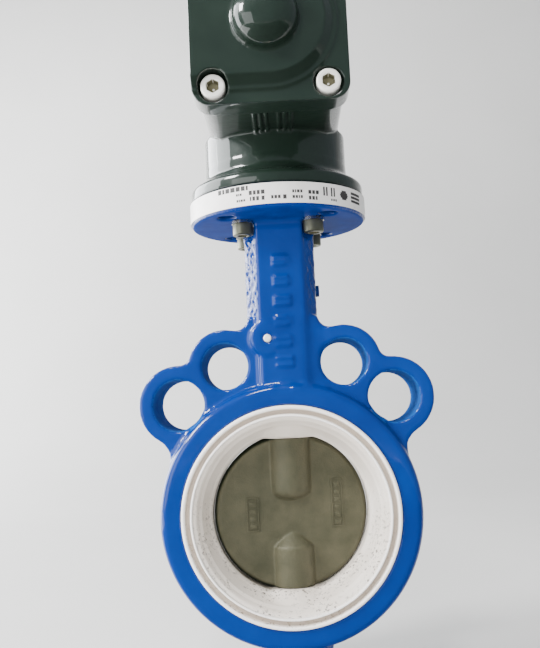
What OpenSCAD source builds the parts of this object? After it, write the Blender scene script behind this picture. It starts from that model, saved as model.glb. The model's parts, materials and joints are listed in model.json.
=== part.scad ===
// Rotary pneumatic actuator (rack and pinion, spring return) on the wafer butterfly valve that it turns.
// Origin: where the stem axis crosses the pipe axis. +Z runs up the stem and +Y along the pipe.

/* [Valve] */
// Opening of the disc at rest, in degrees from closed
open_angle = 8; // [0:1:12]
// Outer radius of the cast ring
ring_r = 63.1; // [62.5:0.1:64]
// Half width of the cast ring along the pipe
ring_half = 22.5; // [22:0.1:22.8]
// Half width over the two rubber faces
face_half = 24; // [23.5:0.1:24.5]
// Radius of the rubber faces
face_r = 53; // [52:0.1:54]
// Radius of the rubber seat
seat_r = 38.8; // [38.7:0.1:39]
// Radius of the disc
disc_r = 38.5; // [38:0.1:38.5]
// Half thickness of the disc plate
disc_half = 4.5; // [3.5:0.1:5]
// Radius of the hubs on the disc
hub_r = 11; // [10:0.1:11.5]
// Height of the flat ends of the hubs above and below the pipe axis
hub_end = 36.3; // [36:0.05:36.35]
// Radius of the stem
stem_r = 7; // [6.9:0.01:7]
// Width across the flats of the stem's squares
stem_flats = 11; // [10:0.1:11.5]

/* [Valve casting] */
// Half thickness of the bolt lugs
lug_half = 17; // [14:0.5:18]
// Half width of the neck and of the foot
neck_half = 17.5; // [17:0.1:18]
// Half depth of the neck over its front and back panels
neck_deep = 19.5; // [18:0.1:20]
// Half width of the flat panel on the neck
panel_half = 11.3; // [9:0.1:11.5]
// Underside and top of the actuator flange
flange_z0 = 145.1; // [144:0.1:146]
flange_z1 = 157.3; // [156.5:0.1:157.5]
// Radius of the actuator flange
flange_r = 45; // [44:0.5:46]
// Lowest point of the foot
foot_z = -82; // [-86:1:-80]

/* [Actuator] */
// Height of the cylinder axis above the pipe axis
bore_z = 220; // [219:0.5:221]
// Radius of the cylinder
bore_r = 25; // [24.9:0.05:25.1]
// Half width and half height of the housing
block_half_x = 33; // [32:0.5:34]
block_half_z = 34.5; // [34:0.5:35]
// Half width and half height of the end caps
cap_half_x = 34.8; // [34:0.1:35]
cap_half_z = 36; // [35.5:0.1:36.5]
// Distance from the stem axis to the joint between housing and cap
cap_joint = 61.5; // [61:0.5:62]
// Distance from the stem axis to the cap's plate, platform and dome
cap_plate = 75.5; // [75:0.5:76]
cap_platform = 80.5; // [80:0.5:81]
cap_dome = 91.5; // [91:0.5:93]
// Radius of the dome on each cap
dome_r = 14.6; // [14.4:0.1:16]
// Radius of the round neck under the housing
column_r = 36.5; // [36:0.5:38]

/* [Gearing] */
// Gear module
gear_module = 1.5; // [1.4:0.05:1.5]
// Teeth on the pinion
pinion_teeth = 16; // [16:1:16]
// Gap on each flank of a pinion tooth
backlash = 0.1; // [0.06:0.01:0.15]

/* [Hidden] */
$fn = 96;

// Colours
enamel_blue = [0.08, 0.34, 0.68];
coat_green = [0.20, 0.25, 0.22];
rubber_white = [0.82, 0.80, 0.77];
cast_steel = [0.46, 0.43, 0.37];
bright_steel = [0.78, 0.78, 0.76];
seal_black = [0.06, 0.06, 0.06];
bush_bronze = [0.62, 0.50, 0.30];
alloy_grey = [0.62, 0.63, 0.64];
pad_white = [0.90, 0.90, 0.86];

// Clearances and small details
over = 1;
edge_round = 3;
run_gap = 0.05;
body_bore_r = 9;
groove_z = 85.8;
pin_r = 2;
pin_x = -7.7;
plug_z = 110.5;
liner_back_r = 46;
liner_back_half = 19.5;

// Bolt lugs: radius from the pipe axis and angle from the stem for the two holes on each side
upper_lug = [78.7, 22];
lower_lug = [76.2, 44];
upper_hole_r = 11.5;
lower_hole_r = 12.7;
upper_wall_r = 18.3;
lower_wall_r = 19.7;

// Flange bolts
drive_bolt_r = 25;
spare_bolt_r = 35;
head_z = 137.6;
washer_z = 143.6;

// Racks, pinion and pistons
pitch_r = gear_module * pinion_teeth / 2;
tooth_pitch = PI * gear_module;
addendum = 0.9 * gear_module;
dedendum = 1.07 * gear_module;
pressure_angle = 20;
gear_half = 9;
rest_travel = pitch_r * open_angle * PI / 180;
rack_back_x = 21.5;
crown_r = 24.7;
crown_in = 24.5;
crown_out = 38.5;
crown_pocket_y = 29.5;
rack_tip_y = -22.9;
pocket_r = 13;
sliding_r = bore_r - run_gap;

// Pinion shaft
collar_z = 160;
collar_top_z = 168;
lower_journal_r = 11;
lower_bore_r = 14.5;
shaft_r = 8;
upper_bore_r = 10.5;
cam_z0 = 232;
cam_z1 = 240;
cam_flats = 13;
well_r = 17;
well_top_z = 242;
snap_z = 256.1;
snap_thick = 1.2;
shaft_top_z = 274.5;
indicator_seat_z = 277;
socket_z0 = 158.5;
socket_z1 = 171;
block_top_z = bore_z + block_half_z;
block_low_z = bore_z - block_half_z;
flare_r = 43.4;
flare_z = 164;
flare_top_z = 174.5;

// Stop screws and the air passages on the sides of the housing
stop_y = 10;
stop_z = 236;
stop_tip_x = 6.3;
port_pad_x = -35;
port_y = 12;
port_r = 5.9;
port_floor_x = -28;
duct_x = -29.5;
duct_z = 238;
duct_r = 2;

// Cap screws
cap_screw_x = 25.2;
cap_screw_z = 28.2;
cap_screw_floor = 71;
spigot_y = 58;
spigot_r = 24.9;
cap_seal_y = 62.8;
cap_hollow_r = 20;
cap_hollow_end = 76.5;
spring_end = 84.5;
spring_hole_r = 11.4;
dome_x = -1;

// ---------- helpers ----------

module rod_x(r, x0, x1, y = 0, z = 0) {
    translate([x0, y, z]) rotate([0, 90, 0]) cylinder(r = r, h = x1 - x0);
}

module rod_y(r, y0, y1, x = 0, z = 0) {
    translate([x, y0, z]) rotate([-90, 0, 0]) cylinder(r = r, h = y1 - y0);
}

module rod_z(r, z0, z1, x = 0, y = 0) {
    translate([x, y, z0]) cylinder(r = r, h = z1 - z0);
}

// Hexagonal prism along Z, by its width across the flats
module hex_z(flats, z0, z1) {
    translate([0, 0, z0]) cylinder(r = flats / sqrt(3), h = z1 - z0, $fn = 6);
}

module tube_z(r_in, r_out, z0, z1) {
    difference() {
        rod_z(r_out, z0, z1);
        rod_z(r_in, z0 - over, z1 + over);
    }
}

module torus(r, section_r) {
    rotate_extrude() translate([r, 0]) circle(r = section_r, $fn = 24);
}

// Extrudes a drawing of X and Z from y0 to y1
module slab_xz(y0, y1) {
    translate([0, y1, 0]) rotate([90, 0, 0]) linear_extrude(y1 - y0) children();
}

// Turns a profile of radius and Y about the Y axis at height z
module about_y(z = 0) {
    translate([0, 0, z]) rotate([-90, 0, 0]) rotate_extrude() children();
}

module both_sides() {
    children();
    mirror([1, 0, 0]) children();
}

module four_corners(x, y) {
    for (sx = [-1, 1], sy = [-1, 1]) translate([sx * x, sy * y, 0]) children();
}

// Where a circle of radius f sits when it touches circle (a, ra) and circle (b, rb) from outside,
// on the left of the line from a to b
function nested(a, ra, b, rb, f) =
    let (d = norm(b - a), u = (b - a) / d, p = ra + f, q = rb + f,
        along = (p * p - q * q + d * d) / (2 * d), side = sqrt(p * p - along * along))
    a + u * along + [-u.y, u.x] * side;

// Fills the corner between two circles, leaving a concave fillet of radius f
module fillet_web(a, ra, b, rb, f) {
    c = nested(a, ra, b, rb, f);
    difference() {
        polygon([a, b, c]);
        translate(c) circle(r = f);
    }
}

function from_stem(polar) = polar.x * [sin(polar.y), cos(polar.y)];

// Rounded rectangle about the origin
module rounded_plate(half_x, half_z, r) {
    square([2 * half_x, 2 * (half_z - r)], center = true);
    square([2 * (half_x - r), 2 * half_z], center = true);
    for (sx = [-1, 1], sz = [-1, 1]) translate([sx * (half_x - r), sz * (half_z - r)]) circle(r = r);
}

// Stem end: a square with its corners turned down to the stem's radius
module stem_square(z0, z1) {
    intersection() {
        rod_z(stem_r, z0, z1);
        translate([-stem_flats / 2, -stem_flats / 2, z0]) cube([stem_flats, stem_flats, z1 - z0]);
    }
}

// Socket head screw with its head on +Z: the underside of the head is at z = 0
module socket_screw(r, length, head_r, head_h, flats) {
    difference() {
        union() {
            rod_z(r, -length, 0);
            rotate_extrude() polygon([[0, 0], [head_r, 0], [head_r, head_h - 0.5],
                [head_r - 0.5, head_h], [0, head_h]]);
        }
        hex_z(flats, head_h / 2, head_h + over);
    }
}

// ---------- valve ----------

module lug_outline() {
    up = from_stem(upper_lug);
    low = from_stem(lower_lug);
    neck_fillet = 6;
    fillet_x = neck_half + neck_fillet;
    fillet_z = up.y + sqrt(pow(upper_wall_r + neck_fillet, 2) - pow(up.x - fillet_x, 2));
    translate(up) circle(r = upper_wall_r);
    translate(low) circle(r = lower_wall_r);
    polygon([[0, 50], [10, up.y], up, low, [50, 20]]);
    fillet_web(up, upper_wall_r, low, lower_wall_r, 5);
    fillet_web(low, lower_wall_r, [0, 0], ring_r, 11.5);
    difference() {
        polygon([[0, 50], up, [fillet_x, fillet_z], [0, fillet_z]]);
        translate([fillet_x, fillet_z]) circle(r = neck_fillet);
    }
}

module neck_section() {
    chamfer_y = 11.5;
    polygon([for (s = [-1, 1], p = [[-neck_half, chamfer_y], [-panel_half, neck_deep],
        [panel_half, neck_deep], [neck_half, chamfer_y]]) s * p]);
}

// Plain raised bars down the front panel, where a foundry would cast its marks
module cast_marks() {
    for (i = [0:5]) translate([-3.5, -neck_deep - 0.7, 72 + 10 * i]) cube([8, 2, 4.5]);
}

// Rounded outer edge of the ring: s is -1 at the front and 1 at the rear
function ring_edge(s) = [for (i = [0:4]) let (a = 90 * (s < 0 ? 4 - i : i) / 4)
    [ring_r - edge_round * (1 - cos(a)), s * (ring_half - edge_round * (1 - sin(a)))]];

module valve_body() color(enamel_blue) {
    difference() {
        union() {
            about_y() polygon(concat([[0, -ring_half]], ring_edge(-1), ring_edge(1), [[0, ring_half]]));
            slab_xz(-lug_half, lug_half) both_sides() lug_outline();
            translate([0, 0, 50]) linear_extrude(flange_z0 - 50 + over) neck_section();
            translate([0, 0, foot_z]) linear_extrude(-50 - foot_z) neck_section();
            rotate_extrude() polygon([[0, flange_z0], [flange_r - 1, flange_z0], [flange_r, flange_z0 + 1],
                [flange_r, flange_z1 - 0.4], [flange_r - 0.4, flange_z1], [0, flange_z1]]);
            rod_y(8.5, -neck_deep - 0.8, 0, pin_x, groove_z);
            rod_x(4.5, 0, neck_half + 0.6, 0, plug_z);
            cast_marks();
        }
        // seat for the rubber liner, with its locking groove
        about_y() polygon([[0, -ring_half - over], [face_r, -ring_half - over], [face_r, -liner_back_half],
            [liner_back_r, -liner_back_half], [liner_back_r, -6], [49, -6], [49, 6], [liner_back_r, 6],
            [liner_back_r, liner_back_half], [face_r, liner_back_half], [face_r, ring_half + over],
            [0, ring_half + over]]);
        both_sides() {
            slab_xz(-lug_half - over, lug_half + over) {
                translate(from_stem(upper_lug)) circle(r = upper_hole_r);
                translate(from_stem(lower_lug)) circle(r = lower_hole_r);
            }
        }
        rod_z(body_bore_r, 40, flange_z1 + over);
        rod_z(body_bore_r, foot_z - over, -40);
        rod_z(17.5, flange_z1 - 2, flange_z1 + over);
        translate([0, 0, 151.35]) cylinder(r = 9.7, h = 2.8, center = true);
        for (a = [45:90:315]) rotate([0, 0, a]) {
            rod_z(3.5, flange_z0 - over, flange_z1 + over, drive_bolt_r);
            rod_z(5.6, head_z - 2, flange_z0, drive_bolt_r);
            rod_z(4.5, flange_z0 - over, flange_z1 + over, spare_bolt_r);
        }
        rod_y(pin_r, -neck_deep - 2, 14, pin_x, groove_z);
        rod_x(1.5, 0, neck_half, 0, plug_z);
        rod_x(3, 14, neck_half + 2, 0, plug_z);
    }
}

module liner_profile() {
    ridge = 0.7;
    // outer bead, flat groove, thin inner bead, step and funnel down to the seat
    side = [[face_r, liner_back_half], [face_r, face_half - 0.8], [face_r - 0.6, face_half],
        [51.2, face_half], [50.7, face_half - ridge], [48.7, face_half - ridge], [48.3, face_half],
        [47.4, face_half], [46.9, face_half - 0.8], [45.2, face_half - 1.2], [44.4, face_half - 2.6],
        [43, 19], [40.9, 13.5], [39.4, 9], [seat_r, 6]];
    front = [for (i = [len(side) - 1:-1:0]) [side[i].x, -side[i].y]];
    polygon(concat([[liner_back_r, -6], [49, -6], [49, 6], [liner_back_r, 6],
        [liner_back_r, liner_back_half]], side, front, [[liner_back_r, -liner_back_half]]));
}

module seat_liner() color(rubber_white) difference() {
    union() {
        about_y() liner_profile();
        // flats around the stem, top and bottom, that the hub ends turn against
        for (s = [0, 180]) rotate([0, s, 0]) rod_z(12.5, hub_end + 0.1, 43);
    }
    rod_z(stem_r + run_gap, -60, 60);
}

// Hub end that runs out on the plate: a quarter ellipse of the given height below z
module hub_dome(z, height) {
    rotate_extrude() polygon(concat([[0, z + over], [hub_r, z + over]],
        [for (a = [0:15:90]) [hub_r * cos(a), z - height * sin(a)]]));
}

// Half of the disc's section, from the middle of the face out to the rim
function disc_edge(s) = [[0, s * disc_half], [disc_r - 2.2, s * disc_half],
    [disc_r - 0.7, s * (disc_half - 1.3)], [disc_r, s * 1]];

module valve_disc() color(cast_steel) rotate([0, 0, open_angle]) difference() {
    edge = disc_edge(1);
    union() {
        intersection() {
            about_y() polygon(concat(disc_edge(-1), [for (i = [len(edge) - 1:-1:0]) edge[i]]));
            cube([100, 100, 2 * hub_end], center = true);
        }
        // the upper hub ends in a dome and the lower one in a cone
        rod_z(hub_r, 11, hub_end);
        hub_dome(11, 6);
        rod_z(hub_r, -hub_end, -17);
        translate([0, 0, -17]) cylinder(r1 = hub_r, r2 = 3, h = 8.5);
    }
    stem_square(12, 30);
    rod_z(stem_r, 30, hub_end + over);
    rod_z(stem_r, -hub_end - over, -20);
}

module upper_stem() color(bright_steel) rotate([0, 0, open_angle]) difference() {
    union() {
        stem_square(12, 30);
        rod_z(stem_r, 30, socket_z0);
        stem_square(socket_z0, socket_z1);
    }
    translate([0, 0, groove_z - 2.4]) tube_z(5.4, stem_r + over, 0, 4.8);
}

module lower_stub_shaft() color(bright_steel) rod_z(stem_r, -73, -20);

module stem_bush(z0, z1) color(bush_bronze) tube_z(stem_r + run_gap, body_bore_r, z0, z1);

module stem_seal_ring() color(seal_black) translate([0, 0, 151.35]) torus(8.35, 1.3);

module stem_retaining_pin() color(bright_steel) rod_y(pin_r, -neck_deep - 1.2, 14, pin_x, groove_z);

module bottom_plug() color(bright_steel) difference() {
    rod_z(body_bore_r, -81, -74);
    hex_z(8, -81 - over, -77);
}

module neck_side_plug() color(enamel_blue) difference() {
    rod_x(3, 14, neck_half + 2, 0, plug_z);
    translate([neck_half + 0.5, 0, plug_z]) rotate([0, 90, 0]) hex_z(3, 0, 3);
}

module rating_label() color([0.87, 0.86, 0.85]) {
    sweep = 220;
    rotate([0, 0, -90 - sweep / 2]) rotate_extrude(angle = sweep)
        translate([flange_r, flange_z0 + 1.6]) square([0.35, 10]);
}

module mounting_screws() color(bright_steel) {
    for (a = [45:90:315]) rotate([0, 0, a]) translate([drive_bolt_r, 0, washer_z]) mirror([0, 0, 1])
        socket_screw(3, 22, 5, washer_z - head_z, 5);
}

module mounting_washers() color(bright_steel) {
    for (a = [45:90:315]) rotate([0, 0, a]) translate([drive_bolt_r, 0, 0])
        tube_z(3.2, 5.4, washer_z, flange_z0);
}

module centring_ring() color(alloy_grey) tube_z(12, 17.5, flange_z1 - 2, flange_z1 + 2);

// ---------- actuator ----------

module housing_shell() {
    rotate_extrude() polygon([[0, flange_z1], [44.1, flange_z1], [44.5, flange_z1 + 0.4],
        [44.5, flange_z1 + 4.6], [44.2, flange_z1 + 5.8], [flare_r, flare_z],
        for (a = [15:15:90])
            [flare_r - (flare_r - column_r) * sin(a), flare_top_z - (flare_top_z - flare_z) * cos(a)],
        [column_r, block_low_z + 4.2], [column_r - 0.6, block_low_z + 4.8], [0, block_low_z + 4.8]]);
    translate([0, 0, bore_z]) slab_xz(-cap_joint, cap_joint) rounded_plate(block_half_x, block_half_z, 8);
    // thin ribs along the underside
    for (x = [3, 5.7, 8.4]) both_sides() translate([x - 0.6, -cap_joint, block_low_z - 1])
        cube([1.2, 2 * cap_joint, 2]);
    // pad for the air interface
    translate([port_pad_x, -24, bore_z - 18]) cube([5, 48, 36]);
}

module side_grooves() {
    for (z = [-20, -14, 14, 20]) translate([block_half_x - 0.8, -cap_joint - over, bore_z + z - 1])
        cube([2, 2 * cap_joint + 2 * over, 2]);
}

module actuator_housing() color(coat_green) difference() {
    housing_shell();
    side_grooves();
    rod_y(bore_r, -cap_joint - over, cap_joint + over, 0, bore_z);
    rod_z(well_r, bore_z, well_top_z);
    rod_z(lower_bore_r, flange_z1 - over, bore_z);
    rod_z(17.5, flange_z1 - over, flange_z1 + 2);
    rod_z(upper_bore_r, well_top_z - over, block_top_z + over);
    for (a = [45:90:315]) rotate([0, 0, a]) {
        rod_z(3, flange_z1 - over, 169, drive_bolt_r);
        rod_z(3.4, flange_z1 - over, 165, spare_bolt_r);
    }
    for (x = [-1, 1], z = [-1, 1]) {
        rod_y(3, -cap_joint - over, -47, x * cap_screw_x, bore_z + z * cap_screw_z);
        rod_y(3, 47, cap_joint + over, x * cap_screw_x, bore_z + z * cap_screw_z);
    }
    // travel stops
    for (s = [-1, 1]) rod_x(3, 10, block_half_x + over, s * stop_y, stop_z);
    // accessory pattern on top
    four_corners(15, 40) rod_z(2.1, block_top_z - 8, block_top_z + over);
    // air interface: two ports, four tapped holes and the ducts behind them
    for (s = [-1, 1]) rod_x(port_r, port_pad_x - over, port_floor_x, s * port_y, bore_z);
    for (y = [-16, 16], z = [-12, 12]) rod_x(2.1, port_pad_x - over, -27, y, bore_z + z);
    rod_x(2.5, port_floor_x - over, -20, -port_y, bore_z);
    rod_z(duct_r, bore_z, duct_z, duct_x, port_y - 3);
    rod_y(duct_r, -cap_joint - over, cap_joint + over, duct_x, duct_z);
}

// Outline of the raised platform: round at +X about the bore, and straight to the cap's edge at -X
module raised_d(low_r, top_r, y0, y1) {
    translate([0, y0, bore_z]) rotate([-90, 0, 0]) cylinder(r1 = low_r, r2 = top_r, h = y1 - y0);
    translate([-cap_half_x, 0, bore_z]) rotate([90, 0, 90]) linear_extrude(cap_half_x)
        polygon([[y0 - over, -low_r], [y0, -low_r], [y1, -top_r], [y1, top_r], [y0, low_r],
            [y0 - over, low_r]]);
}

// The platform has a low shoulder and a sloping skirt above it
module platform_solid() {
    shoulder_y = cap_plate + 1.2;
    raised_d(31, 30.2, cap_plate, shoulder_y);
    raised_d(28.4, 24.8, shoulder_y, cap_platform);
}

module dome_profile() {
    foot = cap_platform + 1;
    polygon(concat([[0, cap_plate], [dome_r + 1, cap_plate], [dome_r + 1, cap_platform]],
        [for (a = [0:10:90]) [dome_r * pow(cos(a), 0.75), foot + (cap_dome - foot) * sin(a)]]));
}

// An end cap as it stands on the +Y end
module end_cap() {
    difference() {
        union() {
            translate([0, 0, bore_z]) slab_xz(cap_joint, cap_plate) rounded_plate(cap_half_x, cap_half_z, 8);
            intersection() {
                platform_solid();
                translate([0, 0, bore_z]) slab_xz(cap_joint, cap_dome)
                    rounded_plate(cap_half_x, cap_half_z, 8);
            }
            translate([dome_x, 0, 0]) about_y(bore_z) dome_profile();
            rod_y(spigot_r, spigot_y, cap_joint, 0, bore_z);
        }
        rod_y(cap_hollow_r, spigot_y - over, cap_hollow_end, 0, bore_z);
        rod_y(spring_hole_r, 76, spring_end, 0, bore_z);
        translate([0, cap_seal_y, bore_z]) rotate([90, 0, 0]) tube_z(26.6, 29.4, -1.3, 2);
        for (x = [-1, 1], z = [-1, 1]) {
            rod_y(3.3, spigot_y, cap_platform, x * cap_screw_x, bore_z + z * cap_screw_z);
            rod_y(6.6, cap_screw_floor, 90, x * cap_screw_x, bore_z + z * cap_screw_z);
        }
        rod_y(duct_r, spigot_y, 70, duct_x, duct_z);
        rod_x(duct_r, duct_x, -10, 70, duct_z);
    }
}

module front_end_cap() color(coat_green) mirror([0, 1, 0]) end_cap();

module rear_end_cap() color(coat_green) end_cap();

module cap_screws() {
    for (x = [-1, 1], z = [-1, 1])
        translate([x * cap_screw_x, cap_screw_floor, bore_z + z * cap_screw_z]) rotate([-90, 0, 0])
            socket_screw(3, 22, 5, 6, 5);
}

module front_cap_screws() color(bright_steel) mirror([0, 1, 0]) cap_screws();

module rear_cap_screws() color(bright_steel) cap_screws();

module cap_seal() translate([0, cap_seal_y, bore_z]) rotate([90, 0, 0]) torus(28, 1.2);

module front_cap_seal() color(seal_black) mirror([0, 1, 0]) cap_seal();

module rear_cap_seal() color(seal_black) cap_seal();

// Gap between two rack teeth, on the +X rack, centred on y = 0
module rack_gap() {
    half = tooth_pitch / 4;
    slope = tan(pressure_angle);
    mouth = pitch_r - 2;
    root = pitch_r + dedendum;
    translate([0, 0, bore_z - gear_half - over]) linear_extrude(2 * gear_half + 2 * over)
        polygon([[mouth, -half - 2 * slope], [root, -half + dedendum * slope],
            [root, half - dedendum * slope], [mouth, half + 2 * slope]]);
}

// The rear piston with the disc closed: crown at +Y, rack on the +X side of the pinion
module piston() {
    tip_x = pitch_r - addendum;
    difference() {
        union() {
            rod_y(crown_r, crown_in, crown_out, 0, bore_z);
            translate([tip_x, rack_tip_y, bore_z - gear_half])
                cube([rack_back_x - tip_x, crown_in - rack_tip_y + over, 2 * gear_half]);
        }
        for (k = [-5:2]) translate([0, k * tooth_pitch, 0]) rack_gap();
        rod_y(pocket_r, crown_pocket_y, crown_out + over, 0, bore_z);
        translate([0, 0, bore_z]) rotate([-90, 0, 0]) {
            tube_z(22.2, bore_r, 29, 32.2);
            tube_z(23.4, bore_r, 34, 37.5);
        }
    }
}

module piston_seal() translate([0, 30.6, bore_z]) rotate([90, 0, 0]) torus(23.6, 1.35);

module guide_ring() translate([0, 0, bore_z]) rotate([-90, 0, 0]) tube_z(23.4, sliding_r, 34, 37.5);

module rack_pad() intersection() {
    rod_y(sliding_r, -20, 0, 0, bore_z);
    translate([rack_back_x, -20, bore_z - 7.5]) cube([5, 20, 15]);
}

// Moves a piece of the rear or of the front piston from closed to its place at rest
module at_rear() translate([0, rest_travel, 0]) children();

module at_front() rotate([0, 0, 180]) at_rear() children();

module front_piston() color(alloy_grey) at_front() piston();

module rear_piston() color(alloy_grey) at_rear() piston();

module front_piston_seal() color(seal_black) at_front() piston_seal();

module rear_piston_seal() color(seal_black) at_rear() piston_seal();

module front_guide_ring() color(pad_white) at_front() guide_ring();

module rear_guide_ring() color(pad_white) at_rear() guide_ring();

module front_rack_pad() color(pad_white) at_front() rack_pad();

module rear_rack_pad() color(pad_white) at_rear() rack_pad();

// Round wire wound along +Z from z0 to z1, with closed end turns
module coil(z0, z1, mean_r, wire_r, turns) {
    sides = 8;
    steps = 16 * turns;
    low = z0 + wire_r;
    high = z1 - wire_r;
    end = 1 / turns;
    rise = function (t) t < end ? 2 * wire_r * t / end / (high - low) * 1.02
        : t > 1 - end ? 1 - 2 * wire_r * (1 - t) / end / (high - low) * 1.02
        : 2.04 * wire_r / (high - low) + (1 - 4.08 * wire_r / (high - low)) * (t - end) / (1 - 2 * end);
    points = [for (i = [0:steps], j = [0:sides - 1])
        let (t = i / steps, turn = 360 * turns * t, a = 360 * j / sides, r = mean_r + wire_r * cos(a))
        [r * cos(turn), r * sin(turn), low + (high - low) * rise(t) + wire_r * sin(a)]];
    walls = [for (i = [0:steps - 1], j = [0:sides - 1])
        let (k = (j + 1) % sides) [i * sides + j, (i + 1) * sides + j, (i + 1) * sides + k, i * sides + k]];
    ends = [[for (j = [0:sides - 1]) j], [for (j = [sides - 1:-1:0]) steps * sides + j]];
    polyhedron(points, concat(walls, ends), convexity = 10);
}

module return_spring() translate([0, 0, bore_z]) rotate([-90, 0, 0])
    coil(crown_pocket_y + rest_travel, spring_end, 9.6, 1.2, 9);

module front_spring() color(bright_steel) mirror([0, 1, 0]) return_spring();

module rear_spring() color(bright_steel) return_spring();

// Angle of an involute at radius r, in degrees
function involute(r, base_r) = let (t = sqrt(max(0, pow(r / base_r, 2) - 1))) t * 180 / PI - atan(t);

module gear_outline() {
    base_r = pitch_r * cos(pressure_angle);
    tip_r = pitch_r + addendum;
    root_r = pitch_r - dedendum;
    half_pitch = 90 / pinion_teeth - backlash / pitch_r * 180 / PI;
    half_base = half_pitch + involute(pitch_r, base_r);
    radii = concat([root_r], [for (i = [0:6]) base_r + (tip_r - base_r) * i / 6]);
    flank = [for (r = radii) [r, half_base - involute(r, base_r)]];
    polygon([for (k = [0:pinion_teeth - 1], s = [-1, 1], i = [0:len(flank) - 1])
        let (p = flank[s < 0 ? i : len(flank) - 1 - i], a = 360 * k / pinion_teeth + s * p.y)
        p.x * [cos(a), sin(a)]]);
}

// Shaft section with two flats, for the cam
module cam_seat(z0, z1) {
    intersection() {
        rod_z(shaft_r, z0, z1);
        translate([-cam_flats / 2, -shaft_r, z0]) cube([cam_flats, 2 * shaft_r, z1 - z0]);
    }
}

module pinion() color(bright_steel) rotate([0, 0, open_angle]) difference() {
    union() {
        rod_z(14, collar_z, collar_top_z);
        rod_z(lower_journal_r, collar_top_z, bore_z - gear_half);
        translate([0, 0, bore_z - gear_half]) linear_extrude(2 * gear_half) gear_outline();
        rod_z(shaft_r, bore_z + gear_half, cam_z0);
        cam_seat(cam_z0, cam_z1);
        rod_z(shaft_r, cam_z1, snap_z + 2);
        intersection() {
            rod_z(shaft_r, snap_z + 2, shaft_top_z);
            translate([-6, -10, snap_z + 2]) cube([12, 20, 30]);
        }
    }
    stem_square(collar_z - over, socket_z1);
    tube_z(7.2, shaft_r + over, snap_z, snap_z + snap_thick);
    translate([-2, -10, shaft_top_z - 4]) cube([4, 20, 5]);
    rod_z(2.5, shaft_top_z - 14, shaft_top_z + over);
}

// Two lobes, a quarter turn apart, that meet the stop screws
module stop_cam() color(bright_steel) rotate([0, 0, open_angle]) difference() {
    union() {
        rod_z(9.2, cam_z0, cam_z1);
        intersection() {
            rod_z(15, cam_z0, cam_z1);
            translate([0, 0, cam_z0]) linear_extrude(cam_z1 - cam_z0) {
                translate([-6, 0]) square([12, 20]);
                translate([-20, -6]) square([20, 12]);
            }
        }
    }
    cam_seat(cam_z0 - over, cam_z1 + over);
}

module pinion_lower_bush() color(bush_bronze)
    tube_z(lower_journal_r + run_gap, lower_bore_r, collar_top_z + 0.2, 188.9);

module pinion_upper_bush() color(bush_bronze)
    tube_z(shaft_r + run_gap, upper_bore_r, well_top_z + 0.2, 249.5);

module pinion_lower_seal() color(seal_black) translate([0, 0, 190.8]) torus(12.75, 1.7);

module pinion_upper_seal() color(seal_black) translate([0, 0, 250.9]) torus(9.3, 1.2);

module thrust_washer() color(pad_white) tube_z(shaft_r + 0.1, 13, block_top_z, snap_z - 0.1);

module snap_ring() color(bright_steel) rotate([0, 0, open_angle + 20])
    rotate_extrude(angle = 320) translate([7.2, snap_z]) square([3.3, snap_thick]);

module position_indicator() color([0.85, 0.70, 0.12]) rotate([0, 0, open_angle]) difference() {
    union() {
        rotate_extrude() polygon([[0, shaft_top_z], [15, shaft_top_z], [15, shaft_top_z + 3],
            [14, shaft_top_z + 4], [0, shaft_top_z + 4]]);
        translate([-2, -7, shaft_top_z - 3.5]) cube([4, 14, 4]);
        translate([-3, -13, shaft_top_z + 3.5]) cube([6, 26, 3]);
    }
    rod_z(2.7, shaft_top_z - 10, shaft_top_z + 10);
    rod_z(4.6, indicator_seat_z, shaft_top_z + 10);
}

module indicator_screw() color(bright_steel) translate([0, 0, indicator_seat_z])
    socket_screw(2.5, 14, 4.3, 4, 4);

module stop_screws() color(bright_steel) {
    length = 34.2;
    for (s = [-1, 1]) difference() {
        rod_x(3, stop_tip_x, stop_tip_x + length, s * stop_y, stop_z);
        translate([stop_tip_x + length - 3, s * stop_y, stop_z]) rotate([0, 90, 0]) hex_z(3, 0, 4);
    }
}

module stop_screw_nuts() color(bright_steel) {
    for (s = [-1, 1]) translate([block_half_x, s * stop_y, stop_z]) rotate([0, 90, 0]) difference() {
        hex_z(10, 0, 5);
        rod_z(3, -over, 6);
    }
}

valve_body();
seat_liner();
valve_disc();
upper_stem();
lower_stub_shaft();
stem_bush(132, 149.9);  // upper_stem_bush
stem_bush(50, 66);  // middle_stem_bush
stem_bush(-68, -50);  // lower_stem_bush
stem_seal_ring();
stem_retaining_pin();
bottom_plug();
neck_side_plug();
rating_label();
mounting_screws();
mounting_washers();
centring_ring();
actuator_housing();
front_end_cap();
rear_end_cap();
front_cap_screws();
rear_cap_screws();
front_cap_seal();
rear_cap_seal();
front_piston();
rear_piston();
front_piston_seal();
rear_piston_seal();
front_guide_ring();
rear_guide_ring();
front_rack_pad();
rear_rack_pad();
front_spring();
rear_spring();
pinion();
stop_cam();
pinion_lower_bush();
pinion_upper_bush();
pinion_lower_seal();
pinion_upper_seal();
thrust_washer();
snap_ring();
position_indicator();
indicator_screw();
stop_screws();
stop_screw_nuts();
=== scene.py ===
"""Rotary pneumatic actuator on a wafer butterfly valve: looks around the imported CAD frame.

Units are metres, in the CAD's own frame: origin where the stem crosses the pipe axis, +Z up the stem and
+Y along the pipe.
"""

import json
import math

import bmesh
import bpy
from mathutils import Matrix, Vector, noise

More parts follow.
